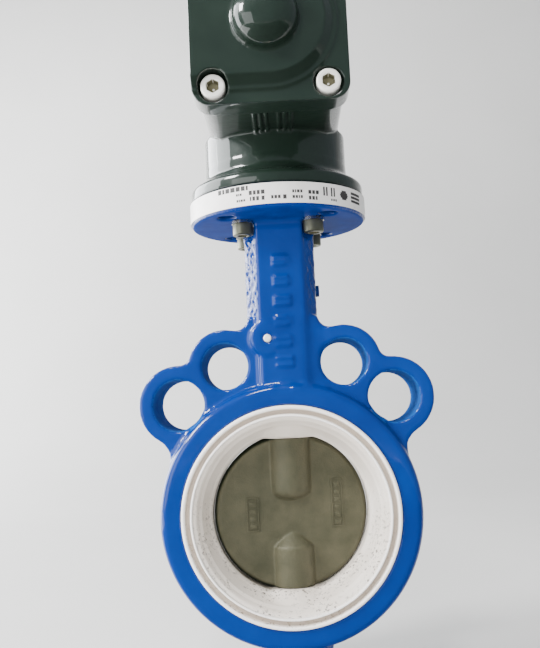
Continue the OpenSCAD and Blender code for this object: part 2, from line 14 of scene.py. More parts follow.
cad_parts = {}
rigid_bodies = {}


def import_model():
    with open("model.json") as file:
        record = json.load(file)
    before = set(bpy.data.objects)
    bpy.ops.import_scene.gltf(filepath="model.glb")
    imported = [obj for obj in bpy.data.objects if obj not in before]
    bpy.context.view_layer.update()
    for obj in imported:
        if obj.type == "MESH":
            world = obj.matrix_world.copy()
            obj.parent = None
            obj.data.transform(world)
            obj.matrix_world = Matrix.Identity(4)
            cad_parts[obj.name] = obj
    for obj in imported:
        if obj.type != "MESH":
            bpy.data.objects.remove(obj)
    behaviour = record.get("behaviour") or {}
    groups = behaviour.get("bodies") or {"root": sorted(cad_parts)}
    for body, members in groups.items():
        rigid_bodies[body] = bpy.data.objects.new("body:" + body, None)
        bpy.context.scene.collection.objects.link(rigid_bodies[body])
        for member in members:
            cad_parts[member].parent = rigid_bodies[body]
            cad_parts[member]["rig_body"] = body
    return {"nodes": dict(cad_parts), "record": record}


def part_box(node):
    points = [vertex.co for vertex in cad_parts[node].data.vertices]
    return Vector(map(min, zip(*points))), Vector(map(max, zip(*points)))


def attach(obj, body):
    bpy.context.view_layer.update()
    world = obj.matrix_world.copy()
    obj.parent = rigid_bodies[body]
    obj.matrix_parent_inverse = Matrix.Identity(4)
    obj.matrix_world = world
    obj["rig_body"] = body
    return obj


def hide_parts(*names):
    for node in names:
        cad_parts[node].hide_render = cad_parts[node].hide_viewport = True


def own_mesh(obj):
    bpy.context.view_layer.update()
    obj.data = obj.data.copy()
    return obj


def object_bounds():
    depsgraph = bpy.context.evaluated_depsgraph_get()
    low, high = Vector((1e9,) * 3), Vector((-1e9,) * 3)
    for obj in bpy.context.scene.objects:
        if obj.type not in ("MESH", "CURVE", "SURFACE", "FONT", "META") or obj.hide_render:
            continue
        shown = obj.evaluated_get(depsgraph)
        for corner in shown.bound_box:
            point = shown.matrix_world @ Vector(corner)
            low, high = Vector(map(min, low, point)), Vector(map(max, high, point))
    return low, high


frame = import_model()
CAD_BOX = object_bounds()
MM = 0.001
NODES = frame["nodes"]


# ---------- materials ----------

class Shader:
    """A Principled material with a short way to add the nodes that vary it."""

    def __init__(self, name, **constants):
        self.mat = bpy.data.materials.new(name)
        self.mat.use_nodes = True
        self.tree = self.mat.node_tree
        self.bsdf = self.tree.nodes["Principled BSDF"]
        for key, value in constants.items():
            self.bsdf.inputs[key.replace("_", " ")].default_value = value
        self.coords = self.tree.nodes.new("ShaderNodeTexCoord").outputs["Object"]

    def node(self, kind, **props):
        made = self.tree.nodes.new("ShaderNode" + kind)
        for key, value in props.items():
            setattr(made, key, value)
        return made

    def link(self, source, target):
        self.tree.links.new(source, target)

    def texture(self, kind, size):
        """A texture of Blender's with features about size metres across."""
        made = self.node(kind)
        made.inputs["Scale"].default_value = 1 / size
        self.link(self.coords, made.inputs["Vector"])
        return made

    def noise(self, size, detail=3.0, rough=0.5):
        made = self.texture("TexNoise", size)
        made.inputs["Detail"].default_value = detail
        made.inputs["Roughness"].default_value = rough
        return made.outputs["Fac"]

    def cells(self, size):
        """Distance from the nearest of scattered points."""
        return self.texture("TexVoronoi", size).outputs["Distance"]

    def ramp(self, factor, *stops):
        """Stops are (place, value) with a grey value or a linear RGB colour."""
        made = self.node("ValToRGB")
        elements = made.color_ramp.elements
        while len(elements) < len(stops):
            elements.new(0.5)
        for element, (place, value) in zip(elements, stops):
            element.position = place
            rgb = (value,) * 3 if isinstance(value, (int, float)) else value
            element.color = (*rgb, 1)
        self.link(factor, made.inputs["Fac"])
        return made.outputs["Color"]

    def mix(self, factor, low, high, blend="MIX"):
        """Blends low and high, each a socket or a linear RGB colour."""
        made = self.node("Mix", data_type="RGBA", blend_type=blend)
        for socket, value in ((made.inputs[0], factor), (made.inputs[6], low), (made.inputs[7], high)):
            if isinstance(value, bpy.types.NodeSocket):
                self.link(value, socket)
            elif isinstance(value, (int, float)):
                socket.default_value = value
            else:
                socket.default_value = (*value, 1)
        return made.outputs[2]

    def both(self, first, second):
        """Where two masks overlap."""
        return self.mix(1.0, first, second, "MULTIPLY")

    def math(self, operation, *values):
        made = self.node("Math", operation=operation)
        for socket, value in zip(made.inputs, values):
            if isinstance(value, bpy.types.NodeSocket):
                self.link(value, socket)
            else:
                socket.default_value = value
        return made.outputs[0]

    def centred(self, source, slope):
        """A value times a slope, with zero moved to the middle of a ramp."""
        return self.math("MULTIPLY_ADD", source, slope, 0.5)

    def axis(self, letter):
        made = self.node("SeparateXYZ")
        self.link(self.coords, made.inputs[0])
        return made.outputs[letter]

    def decimetres_out(self):
        """Distance from the pipe axis in tenths of a metre, so that a ramp can take it."""
        x, z = self.axis("X"), self.axis("Z")
        squares = self.math("ADD", self.math("MULTIPLY", x, x), self.math("MULTIPLY", z, z))
        return self.math("MULTIPLY", self.math("SQRT", squares), 10.0)

    def colour(self, source):
        self.link(source, self.bsdf.inputs["Base Color"])

    def roughness(self, factor, low, high):
        self.link(self.ramp(factor, (0.25, low), (0.75, high)), self.bsdf.inputs["Roughness"])

    def bump(self, *layers):
        """Each layer is (height, depth in metres)."""
        last = None
        for height, depth in layers:
            made = self.node("Bump")
            made.inputs["Distance"].default_value = depth
            self.link(height, made.inputs["Height"])
            if last:
                self.link(last, made.inputs["Normal"])
            last = made.outputs["Normal"]
        self.link(last, self.bsdf.inputs["Normal"])


def srgb(r, g, b):
    """Linear colour from 0 to 255 screen values."""
    screen = (r / 255, g / 255, b / 255)
    return tuple(c / 12.92 if c <= 0.04045 else ((c + 0.055) / 1.055) ** 2.4 for c in screen)


def enamel_blue():
    """Thick glossy enamel over sand-cast iron, with the rough skin of the mould on the sides of the neck."""
    s = Shader("blue_enamel", Coat_Weight=0.8, Coat_Roughness=0.05, Coat_IOR=1.5, Specular_IOR_Level=0.05)
    tone = s.noise(0.035, 4)
    s.colour(s.ramp(tone, (0.3, ENAMEL_DEEP), (0.7, ENAMEL_LIGHT)))
    s.roughness(s.noise(0.012, 5), 0.3, 0.42)
    side = s.ramp(s.math("ABSOLUTE", s.axis("X")), (0.0117, 0.0), (0.0127, 1.0))
    above = s.ramp(s.axis("Z"), (0.098, 0.0), (0.104, 1.0))
    skin = s.both(s.noise(0.002, 3, 0.6), s.both(side, above))
    s.bump((s.noise(0.006, 3), 0.0003), (s.noise(0.0013, 2), 0.00004), (skin, 0.0014))
    return s.mat


def enamel_thin(name, deep, light, sheen):
    """The enamel where it lies thin and dull, in the tones given: under the flange, and on the walls of the
    cast holes in a lighter blue that is painted light in their shade.
    """
    s = Shader(name, Specular_IOR_Level=0.0, Coat_Weight=sheen, Coat_Roughness=0.25)
    s.colour(s.ramp(s.noise(0.008, 4), (0.3, deep), (0.7, light)))
    s.roughness(s.noise(0.004, 4), 0.5, 0.65)
    s.bump((s.noise(0.003, 3), 0.0003))
    return s.mat


def coat_green():
    """Dark green-grey coating of the actuator: glossy, with faint orange peel."""
    s = Shader("green_coat", Coat_Weight=1.0, Coat_Roughness=0.04, Coat_IOR=1.5, Specular_IOR_Level=0.1)
    tone = s.noise(0.04, 4)
    s.colour(s.ramp(tone, (0.3, COAT_DEEP), (0.7, COAT_LIGHT)))
    s.roughness(s.noise(0.01, 5), 0.28, 0.4)
    dust = s.ramp(s.cells(0.006), (0.03, 1.0), (0.05, 0.0))
    s.bump((s.noise(0.009, 3), 0.00022), (s.noise(0.0012, 2), 0.00002), (dust, 0.00006))
    return s.mat


def liner_rubber():
    """Off-white moulded rubber with painted shade on the left of the seat, dust and painted shade in the
    groove of its face, and a painted highlight on the lip and the bead.
    """
    s = Shader("liner_rubber", Specular_IOR_Level=0.18)
    tone = s.noise(0.03, 5, 0.6)
    base = s.ramp(tone, (0.3, LINER_DEEP), (0.7, LINER_LIGHT))
    # black scuffs and specks, most of them low on the inner wall where the disc wipes
    low = s.ramp(s.centred(s.axis("Z"), -14.0), (0.25, 0.0), (0.75, 1.0))
    specks = s.ramp(s.noise(0.0016, 4, 0.75), (0.54, 0.0), (0.62, 1.0))
    patch = s.ramp(s.noise(0.011, 3), (0.4, 0.0), (0.52, 1.0))
    dirt = s.both(s.both(specks, patch), low)
    worn = s.mix(s.math("MULTIPLY", dirt, 0.9), base, srgb(62, 52, 42))
    # painted shade: a dark band on the seat, along the left side where the disc's edge stands towards the
    # front
    seat = s.ramp(s.centred(s.axis("Y"), 30.0), (0.2, 0.0), (0.275, 1.0), (0.86, 1.0), (0.95, 0.0))
    left = s.ramp(s.centred(s.axis("X"), -20.0), (0.4, 0.0), (0.8, 1.0))
    shade_patches = s.ramp(s.noise(0.007, 4), (0.35, 0.7), (0.7, 0.95))
    seat_shaded = s.mix(s.both(s.both(seat, left), shade_patches), worn, srgb(86, 80, 62))
    # dust and painted shade darken the groove of the face
    out = s.decimetres_out()
    groove = s.ramp(out, (0.484, 0.0), (0.487, 1.0), (0.505, 1.0), (0.508, 0.0))
    dusty_and_shaded = s.mix(s.math("MULTIPLY", groove, 0.75), seat_shaded, srgb(146, 130, 114))
    # painted highlight: the lip and the bead are painted near white
    crest_highlight = s.ramp(out, (0.471, 0.0), (0.474, 1.0), (0.483, 1.0), (0.486, 0.0), (0.508, 0.0), (0.511, 1.0))
    s.colour(s.mix(s.math("MULTIPLY", crest_highlight, 0.8), dusty_and_shaded, srgb(250, 248, 246)))
    s.roughness(s.noise(0.006, 4), 0.4, 0.56)
    s.bump((s.noise(0.004, 3), 0.00012), (s.noise(0.0007, 2), 0.00004))
    return s.mat


def cast_stainless():
    """Shot-blasted stainless casting: fine even pits and an olive tint."""
    s = Shader("cast_stainless", Metallic=0.3)
    tone = s.noise(0.012, 6, 0.65)
    base = s.ramp(tone, (0.3, DISC_DEEP), (0.7, DISC_LIGHT))
    # painted shade: the machined rim is painted dark along its left side, which opens towards the front
    rim = s.ramp(s.decimetres_out(), (0.364, 0.0), (0.37, 1.0))
    side = s.ramp(s.centred(s.axis("X"), -20.0), (0.3, 0.0), (0.7, 1.0))
    s.colour(s.mix(s.both(rim, side), base, srgb(30, 36, 22)))
    s.roughness(s.noise(0.003, 4), 0.46, 0.62)
    s.bump((s.noise(0.0009, 5, 0.6), 0.00016), (s.noise(0.005, 3), 0.00025))
    return s.mat


def turned_steel(name, light, rough, metallic=1.0):
    """Machined or plated metal of one tone, with fine tool marks."""
    s = Shader(name, Metallic=metallic)
    tone = s.noise(0.006, 4)
    s.colour(s.ramp(tone, (0.3, tuple(c * 0.9 for c in light)), (0.7, light)))
    s.roughness(s.noise(0.003, 4), rough, rough + 0.1)
    s.bump((s.noise(0.0008, 2), 0.000006))
    return s.mat


def soft_plastic(name, dark, light, rough=0.4, grain=0.0012):
    """Plastic, rubber, film or ink between two tones, with a fine grain."""
    s = Shader(name)
    s.colour(s.ramp(s.noise(0.01, 4), (0.3, dark), (0.7, light)))
    s.roughness(s.noise(0.004, 3), rough, rough + 0.15)
    s.bump((s.noise(grain, 2), 0.00004))
    return s.mat


ENAMEL_DEEP, ENAMEL_LIGHT = srgb(1, 38, 106), srgb(3, 48, 122)
# the walls of the bolt holes take a lighter blue than the enamel: painted light in their shade
HOLE_DEEP_PAINTED_LIGHT, HOLE_PALE_PAINTED_LIGHT = srgb(14, 66, 134), srgb(24, 82, 154)
COAT_DEEP, COAT_LIGHT = srgb(20, 31, 25), srgb(26, 38, 31)
LINER_DEEP, LINER_LIGHT = srgb(208, 198, 186), srgb(226, 218, 208)
DISC_DEEP, DISC_LIGHT = srgb(68, 68, 50), srgb(90, 87, 67)

MATERIALS = {
    "blue_enamel": enamel_blue(),
    "green_coat": coat_green(),
    "liner_rubber": liner_rubber(),
    "cast_stainless": cast_stainless(),
    "bright_steel": turned_steel("bright_steel", srgb(205, 203, 194), 0.2),
    "zinc_steel": turned_steel("zinc_steel", srgb(246, 244, 236), 0.34, 0.3),
    "socket_grime": turned_steel("socket_grime", srgb(124, 120, 94), 0.5, 0.4),
    "dull_steel": turned_steel("dull_steel", srgb(112, 113, 98), 0.34, 0.85),
    "blue_enamel_thin": enamel_thin("blue_enamel_thin", ENAMEL_DEEP, ENAMEL_LIGHT, 0.15),
    "blue_enamel_holes_painted_light": enamel_thin("blue_enamel_holes_painted_light", HOLE_DEEP_PAINTED_LIGHT, HOLE_PALE_PAINTED_LIGHT, 0.03),
    "spring_steel": turned_steel("spring_steel", srgb(110, 112, 116), 0.3),
    "piston_alloy": turned_steel("piston_alloy", srgb(196, 198, 200), 0.32),
    "bronze": turned_steel("bronze", srgb(176, 146, 92), 0.3),
    "seal_rubber": soft_plastic("seal_rubber", srgb(22, 22, 22), srgb(34, 34, 34), 0.5),
    "slide_plastic": soft_plastic("slide_plastic", srgb(222, 220, 210), srgb(236, 234, 226), 0.35),
    "label_film": soft_plastic("label_film", srgb(224, 220, 217), srgb(234, 231, 229), 0.25),
    "indicator_plastic": soft_plastic("indicator_plastic", srgb(214, 168, 26), srgb(228, 184, 40), 0.3),
    "label_ink": soft_plastic("label_ink", srgb(40, 38, 38), srgb(58, 55, 54), 0.5, 0.0006),
}


def finish_with(obj, slot_name):
    obj.data.materials.clear()
    obj.data.materials.append(MATERIALS[slot_name])


# ---------- mesh helpers ----------

def smoothstep(low, high, value):
    t = min(1.0, max(0.0, (value - low) / (high - low)))
    return t * t * (3 - 2 * t)


def new_object(name, bm):
    mesh = bpy.data.meshes.new(name)
    bmesh.ops.recalc_face_normals(bm, faces=bm.faces[:])
    bm.to_mesh(mesh)
    bm.free()
    obj = bpy.data.objects.new(name, mesh)
    bpy.context.scene.collection.objects.link(obj)
    return obj


def smooth(obj, degrees=35):
    for polygon in obj.data.polygons:
        polygon.use_smooth = True
    obj.data.set_sharp_from_angle(angle=math.radians(degrees))
    return obj


def apply_modifiers(obj):
    depsgraph = bpy.context.evaluated_depsgraph_get()
    mesh = bpy.data.meshes.new_from_object(obj.evaluated_get(depsgraph))
    obj.modifiers.clear()
    old = obj.data
    obj.data = mesh
    bpy.data.meshes.remove(old)


def settle(obj, slot_name, body, *nodes, finish=None):
    """Gives a finished piece its material, its body and the CAD nodes that it stands for.

    finish names a look other than the slot's own.
    """
    finish_with(obj, finish or slot_name)
    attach(obj, body)
    if nodes:
        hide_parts(*nodes)
    return obj


def skin(bm, rings, closed=False):
    """Quads between rings of points. The end rings are filled unless the last ring joins the first."""
    rows = [[bm.verts.new(point) for point in ring] for ring in rings]
    pairs = list(zip(rows, rows[1:])) + ([(rows[-1], rows[0])] if closed else [])
    for a, b in pairs:
        for i in range(len(a)):
            k = (i + 1) % len(a)
            bm.faces.new((a[i], a[k], b[k], b[i]))
    if not closed:
        bm.faces.new(rows[0][::-1])
        bm.faces.new(rows[-1])


def hexagon_reach(angle):
    """How far a hexagon's outline is at an angle, over the radius of the circle inside it."""
    return 1 / math.cos((angle + math.pi / 6) % (math.pi / 3) - math.pi / 6)


def ring_of(place, angles, radius, height, hexagon):
    """Points about Z at a height, put at a place: a circle where hexagon is 0, a hexagon where it is 1."""
    points = []
    for angle in angles:
        reach = radius * (1 + hexagon * (hexagon_reach(angle) - 1))
        points.append(place @ Vector((reach * math.cos(angle), reach * math.sin(angle), height)))
    return points


def turned(bm, place, profile, sides=48, closed=False):
    """Turns (radius, height, share of a hexagon) about Z, then puts the result at a place."""
    angles = [2 * math.pi * i / sides for i in range(sides)]
    skin(bm, [ring_of(place, angles, *corner) for corner in profile], closed)


def arc(r_centre, h_centre, radius, start, stop, steps=5):
    """Points of an arc for a turned profile, with angles in degrees from the radial direction."""
    turn = [math.radians(start + (stop - start) * i / steps) for i in range(steps + 1)]
    return [(r_centre + radius * math.cos(a), h_centre + radius * math.sin(a), 0) for a in turn]


def place_along(direction, at):
    """A matrix that puts the Z axis along a direction at a point."""
    turn = Vector((0, 0, 1)).rotation_difference(Vector(direction)).to_matrix().to_4x4()
    return Matrix.Translation(at) @ turn


def rounded_box(bm, low, high, place, bevel):
    """A box with bevelled edges between two corners."""
    made = bmesh.ops.create_cube(bm, size=1.0)
    size = Vector(high) - Vector(low)
    middle = (Vector(high) + Vector(low)) / 2
    bmesh.ops.scale(bm, vec=size, verts=made["verts"])
    bmesh.ops.translate(bm, vec=middle, verts=made["verts"])
    bmesh.ops.transform(bm, matrix=place, verts=made["verts"])
    edges = list({edge for vert in made["verts"] for edge in vert.link_edges})
    bmesh.ops.bevel(bm, geom=edges, offset=bevel, segments=2, profile=0.5, affect="EDGES")


# ---------- castings ----------

def weigh(obj, name, share):
    """A vertex group whose weights come from a function of place."""
    group = obj.vertex_groups.new(name=name)
    for vertex in obj.data.vertices:
        weight = share(vertex.co)
        if weight > 0:
            group.add((vertex.index,), weight, "REPLACE")
    return group.name


def soften(obj, passes, group=""):
    """Smooths a mesh several times over, by the weights of a vertex group where one is named."""
    relax = obj.modifiers.new("soften", "SMOOTH")
    relax.factor = 0.5
    relax.iterations = passes
    relax.vertex_group = group
    apply_modifiers(obj)


MELT_PASSES = 60


def casting(node, slot_name, voxel, passes, keep, shape=None, calm=None, melt=None):
    """A copy of a CAD node with its edges and corners softened as in a sand casting.

    calm gives the share of the softening at a point, melt the share of a much stronger one, and shape then
    moves each vertex. keep is the share of the faces that is left at the end.
    """
    obj = bpy.data.objects.new(node + "_cast", NODES[node].data.copy())
    bpy.context.scene.collection.objects.link(obj)
    remesh = obj.modifiers.new("voxels", "REMESH")
    remesh.mode = "VOXEL"
    remesh.voxel_size = voxel
    apply_modifiers(obj)
    soften(obj, passes, weigh(obj, "soft", calm) if calm else "")
    if melt:
        soften(obj, MELT_PASSES, weigh(obj, "melted", melt))
    if shape:
        for vertex in obj.data.vertices:
            shape(vertex)
    thin = obj.modifiers.new("thin", "DECIMATE")
    thin.ratio = keep
    apply_modifiers(obj)
    for polygon in obj.data.polygons:
        polygon.use_smooth = True
    return settle(obj, slot_name, NODES[node]["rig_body"], node)


def window(value, start, full, fading, end):
    """Rises from 0 at start to 1 at full, and falls again from fading to 0 at end, all in millimetres."""
    return smoothstep(start * MM, full * MM, value) * (1 - smoothstep(fading * MM, end * MM, value))


NECK_PANEL = 11.3 * MM
NECK_SIDE = 17.5 * MM
NECK_FRONT = -19.5 * MM
RING_HALF_WIDTH = 21 * MM
RING_DRAFT = 1.5 * MM
BAR_STEP = 10 * MM
BAR_LEFT = -4.2 * MM
BAR_PROUD = 0.4 * MM


def draft_ring(vertex):
    """The ring is a little larger at mid-width than at its faces, so that it leaves the mould."""
    x, y, z = vertex.co
    radius = math.hypot(x, z)
    outside = window(radius, 60, 62.8, 63.8, 67)
    if outside > 0:
        swell = 1 + RING_DRAFT * outside * max(0.0, 1 - (y / RING_HALF_WIDTH) ** 2) / radius
        vertex.co.x = x * swell
        vertex.co.z = z * swell


def raise_bars(vertex):
    """Plain raised bars down the front panel of the neck, two to a step, in place of a cast name."""
    x, y, z = vertex.co
    if y > NECK_FRONT + BAR_PROUD or abs(x) > NECK_PANEL or not 71 * MM < z < 131 * MM:
        return
    step, along = divmod(z - 69 * MM, BAR_STEP)
    bar_right = (5.4 - step % 3) * MM
    across = smoothstep(0, 1 * MM, x - BAR_LEFT) * smoothstep(0, 1 * MM, bar_right - x)
    nearest = min(abs(along - 3.2 * MM), abs(along - 7 * MM))
    vertex.co.y -= BAR_PROUD * across * (1 - smoothstep(0.4 * MM, 1.4 * MM, nearest))


def roughen_sides(vertex):
    """The lumpy skin of the mould on the side bands of the neck, deeper on the left."""
    x, y, z = vertex.co
    inside = smoothstep(NECK_PANEL, NECK_PANEL + 2 * MM, abs(x)) * smoothstep(6 * MM, 10 * MM, abs(y))
    inside *= window(z, 94, 100, 137, 142)
    if inside <= 0 or abs(x) > NECK_SIDE + 1 * MM:
        return
    depth = (0.8 if x < 0 else 0.35) * MM
    lump = noise.noise(vertex.co * 420) + 0.7 * noise.noise(vertex.co * 900)
    outward = Vector((math.copysign(1, x), math.copysign(1, y), 0)).normalized()
    vertex.co += outward * (depth * inside * lump)


def cast_body(vertex):
    draft_ring(vertex)
    raise_bars(vertex)
    roughen_sides(vertex)


def keep_rim(co):
    """The disc's rim stays true, and the hubs and their roots are softened."""
    if abs(co.y) >= 12 * MM:
        return 1
    return 1 - 0.8 * smoothstep(34 * MM, 37 * MM, math.hypot(co.x, co.z))


def keep_bore(co):
    """The machined bore of the ring keeps its edge where it meets the liner."""
    radius = math.hypot(co.x, co.z)
    return 0.15 if 51 * MM < radius < 55.5 * MM and abs(co.y) > 17 * MM else 1


def melt_root(co):
    """The right edge of the neck's panel fades into the ring and the lugs, and so does the pin's boss."""
    if co.y > -12 * MM:
        return 0
    edge = window(co.x, 7, 9, 20, 23)
    boss = window(co.x, -6, -3, 2, 4)
    return window(co.z, 54, 60, 90, 97) * max(edge, boss)


COVE_FOOT = 164.6 * MM
COVE_R = 5 * MM
COVE_REACH = 7 * MM
COLUMN_R = 36.6 * MM


def tight_cove(vertex):
    """The column runs straight down almost to the flange, and the cove at its foot is small."""
    x, y, z = vertex.co
    radius = math.hypot(x, y)
    if not (COVE_FOOT < z < 175 * MM and 35.5 * MM < radius < 45 * MM):
        return
    drop = max(0.0, min(1.0, 1 - (z - COVE_FOOT) / COVE_R))
    limit = COLUMN_R + COVE_REACH * (1 - math.sqrt(1 - drop * drop))
    if radius > limit:
        vertex.co.x *= limit / radius
        vertex.co.y *= limit / radius


def keep_column(co):
    """The turned top of the column and the ribs under the block stay crisp."""
    return 0.35 if 176 * MM < co.z < 194 * MM else 1


body = casting("valve_body", "blue_enamel", 0.8 * MM, 12, 0.5,
               shape=cast_body, calm=keep_bore, melt=melt_root)
casting("actuator_housing", "green_coat", 0.6 * MM, 5, 0.3, shape=tight_cove, calm=keep_column)
casting("front_end_cap", "green_coat", 0.5 * MM, 8, 0.5)
casting("rear_end_cap", "green_coat", 0.5 * MM, 8, 0.5)
casting("valve_disc", "cast_stainless", 0.5 * MM, 12, 0.6, calm=keep_rim)

# radius of the bolt circle and degrees from the stem, for the holes on each side
LUG_HOLES = ((78.7 * MM, 22), (76.2 * MM, 44))
LUG_HOLE_REACH = 13.5 * MM
FLANGE_UNDERSIDE = 143 * MM


def dull_holes(obj):
    """Gives the underside of the top flange the thin enamel, and the walls of the four flange bolt holes the
    thin enamel in a lighter blue, painted light in their shade.
    """
    obj.data.materials.append(MATERIALS["blue_enamel_thin"])
    obj.data.materials.append(MATERIALS["blue_enamel_holes_painted_light"])
    centres = [(side * r * math.sin(math.radians(a)), r * math.cos(math.radians(a)))
               for r, a in LUG_HOLES for side in (-1, 1)]
    for polygon in obj.data.polygons:
        at = polygon.center
        near = min(math.hypot(at.x - x, at.z - z) for x, z in centres)
        if at.z > FLANGE_UNDERSIDE and polygon.normal.z < -0.8:
            polygon.material_index = 1
        elif near < LUG_HOLE_REACH and abs(polygon.normal.y) < 0.6:
            polygon.material_index = 2


dull_holes(body)


# ---------- rubber liner ----------

LINER_SIDES = 240
LINER_FACE = 24.0
PAD_Z = 36.4 * MM
PAD_R = 12.3 * MM
PAD_EDGE_R = 17 * MM
SEAT_OUTER_R = 45.5 * MM
STEM_HOLE_R = 7.05 * MM


def bulge(r, y, wide, high, start, stop, steps):
    """Points of an arc of an ellipse in the liner's section, with angles in degrees."""
    turn = [math.radians(start + (stop - start) * i / steps) for i in range(steps + 1)]
    return [(r + wide * math.cos(a), y + high * math.sin(a)) for a in turn]


def liner_profile():
    """Half of the liner's section as (radius, distance from the middle), from its back to the seat.

    The lists are in millimetres.
    """
    face = LINER_FACE
    back = [(52.8, 19.5), (52.8, face - 1.2)]
    lip = bulge(51.75, face - 1.2, 1.05, 1.2, 15, 150, 9)
    groove = [(50.75, face - 1.1), (50.65, face - 1.8), (50.4, face - 2.05)]
    groove += [(48.85, face - 2.1), (48.6, face - 1.8)]
    bead = bulge(47.85, face - 1.0, 0.6, 0.8, 0, 180, 8)
    step = [(47.1, face - 1.8), (46.8, face - 1.95), (46.0, face - 2.0)]
    step += [(45.6, face - 2.3), (45.1, face - 3.2)]
    funnel = [(44.6, 19.8), (44.2, 18.8), (43.3, 18.1), (43.0, 17.2)]
    funnel += [(42.6, 16.0), (41.6, 13.6), (40.6, 11.0)]
    seat = [(39.9, 9.6), (38.95, 8.9), (38.65, 8.2), (38.6, 6.0), (38.6, 2.3)]
    return [(r * MM, y * MM) for r, y in back + lip + groove + bead + step + funnel + seat]


def padded(x, y, z):
    """Height of a point of the seat, with the pad round each stem hole raised flat towards the disc's hub."""
    if not PAD_Z < abs(z) < SEAT_OUTER_R:
        return z
    near = 1 - smoothstep(PAD_R, PAD_EDGE_R, math.hypot(x, y))
    return math.copysign(abs(z) + (PAD_Z - abs(z)) * near, z)


def turn_liner(bm):
    """The liner's section turned about the pipe axis, with the rib on its back that keys it to the body."""
    side = liner_profile()
    section = [(r, -y) for r, y in side] + list(reversed(side))
    rib = ((46, 19.5), (46, 6), (49, 6), (49, -6), (46, -6), (46, -19.5))
    section += [(r * MM, y * MM) for r, y in rib]
    rings = []
    for r, y in section:
        ring = []
        for i in range(LINER_SIDES):
            a = 2 * math.pi * i / LINER_SIDES
            x, z = r * math.sin(a), r * math.cos(a)
            ring.append((x, y, padded(x, y, z)))
        rings.append(ring)
    skin(bm, rings, closed=True)


def add_nubs(bm):
    """Four moulded nubs in the groove of each face."""
    groove_r = 49.6 * MM
    depth = (LINER_FACE - 1.8) * MM
    profile = [(0.9 * MM, -0.6 * MM, 0), (0.9 * MM, 0.4 * MM, 0)] + arc(0.3 * MM, 0.4 * MM, 0.6 * MM, 0, 85)
    for face in (-1, 1):
        for quarter in range(4):
            a = math.radians(90 * quarter)
            at = Vector((groove_r * math.sin(a), face * depth, groove_r * math.cos(a)))
            turned(bm, place_along((0, face, 0), at), profile, 16)


def drill_liner(liner):
    """The two holes that the shafts come through."""
    drill = bmesh.new()
    turned(drill, Matrix.Identity(4), [(STEM_HOLE_R, -60 * MM, 0), (STEM_HOLE_R, 60 * MM, 0)], 64)
    cutter = new_object("liner_drill", drill)
    hole = liner.modifiers.new("stem_holes", "BOOLEAN")
    hole.operation = "DIFFERENCE"
    hole.solver = "EXACT"
    hole.object = cutter
    apply_modifiers(liner)
    bpy.data.objects.remove(cutter)


def build_liner():
    bm = bmesh.new()
    turn_liner(bm)
    add_nubs(bm)
    liner = new_object("seat_liner_moulded", bm)
    drill_liner(liner)
    settle(smooth(liner, 40), "liner_rubber", "frame", "seat_liner")


build_liner()


# ---------- fasteners ----------

def socket_screw(bm, place, head_r, head_h, flats, shank_r, length):
    """Socket head screw with the underside of its head at the place and its head on +Z."""
    soft = 0.09 * head_r
    key = flats / 2
    floor = 0.25 * head_h
    profile = [(shank_r * 0.7, -length, 0), (shank_r, -length + 0.3 * shank_r, 0), (shank_r, 0, 0)]
    profile += [(head_r * 0.97, 0, 0), (head_r, 0.03 * head_h, 0)]
    profile += arc(head_r - soft * 2, head_h - soft * 2, soft * 2, 0, 90, 6)
    profile += [(key + 0.35 * MM, head_h, 0.3), (key, head_h - 0.35 * MM, 1), (key, floor, 1)]
    profile += [(key * 0.92, floor - 0.08 * MM, 1), (key * 0.2, floor - 0.5 * MM, 0)]
    turned(bm, place, profile, 72)


HEAD_R = 5 * MM
HEAD_H = 6 * MM
KEY = 5 * MM
SHANK_R = 3 * MM
SHANK = 22 * MM
ZINC_SWELL = 0.4 * MM
Y_AXIS = 1
Z_AXIS = 2


def corner_places(low, high, axis, depth):
    """Centres of four screws at the corners of a node's box, at a depth along the axis of the screws."""
    across, up = (i for i in range(3) if i != axis)
    spots = []
    for a in (low[across] + HEAD_R, high[across] - HEAD_R):
        for b in (low[up] + HEAD_R, high[up] - HEAD_R):
            at = Vector((0, 0, 0))
            at[axis] = depth
            at[across] = a
            at[up] = b
            spots.append(at)
    return spots


def foul_sockets(screws, centres, direction):
    """Grime on the walls and floors of the sockets."""
    screws.data.materials.append(MATERIALS["socket_grime"])
    for polygon in screws.data.polygons:
        offset = min((polygon.center - at for at in centres), key=lambda gap: gap.length)
        along = offset.dot(direction)
        if 1 * MM < along < HEAD_H - 0.4 * MM and (offset - direction * along).length < KEY * 0.6:
            polygon.material_index = 1


def screw_group(node, axis, side, finish, swell=0.0):
    """Four screws with their heads to one side; swell widens each for its zinc and its knurling."""
    low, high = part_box(node)
    depth = low[axis] + HEAD_H if side < 0 else high[axis] - HEAD_H
    centres = corner_places(low, high, axis, depth)
    direction = Vector((0, 0, 0))
    direction[axis] = side
    bm = bmesh.new()
    for at in centres:
        socket_screw(bm, place_along(direction, at), HEAD_R + swell, HEAD_H, KEY + swell, SHANK_R, SHANK)
    screws = smooth(new_object(node + "_detailed", bm), 30)
    settle(screws, "bright_steel", "frame", node, finish=finish)
    foul_sockets(screws, centres, direction)


screw_group("front_cap_screws", Y_AXIS, -1, "zinc_steel", ZINC_SWELL)
screw_group("rear_cap_screws", Y_AXIS, 1, "zinc_steel", ZINC_SWELL)
screw_group("mounting_screws", Z_AXIS, -1, "dull_steel")


